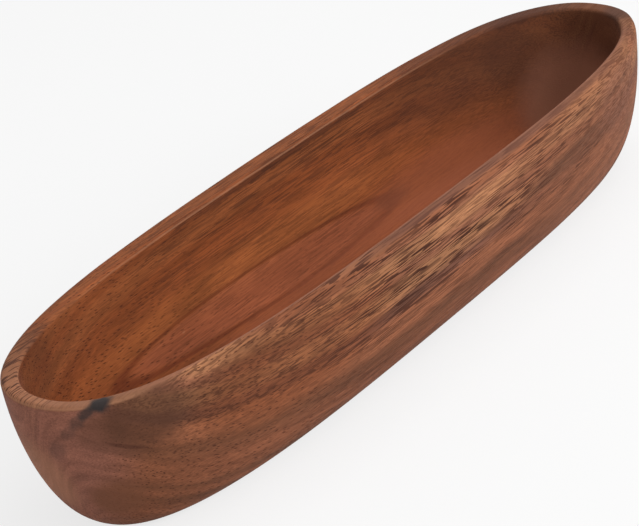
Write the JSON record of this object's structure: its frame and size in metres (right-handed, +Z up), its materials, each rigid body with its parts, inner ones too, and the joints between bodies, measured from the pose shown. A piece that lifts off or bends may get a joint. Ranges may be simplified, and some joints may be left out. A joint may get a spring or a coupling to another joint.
{
  "type": "wooden snack boat",
  "caption": "Long, narrow serving boat carved from a single block of acacia, with a flat base, upright rounded walls, a level rim and an oval hollow for bread, crackers or nuts.",
  "frame": {"origin": "middle of the flat base, on the surface that the boat stands on", "axes": "+X along the boat, +Y across it, +Z up out of the opening"},
  "size_m": [0.38, 0.103, 0.061],
  "materials": {
    "acacia": "hand-sanded and oiled to a low satin, reddish brown with golden bands, dark growth-ring streaks and open pores"
  },
  "bodies": {
    "root": {"snack_boat": "acacia"}
  },
  "joints": []
}
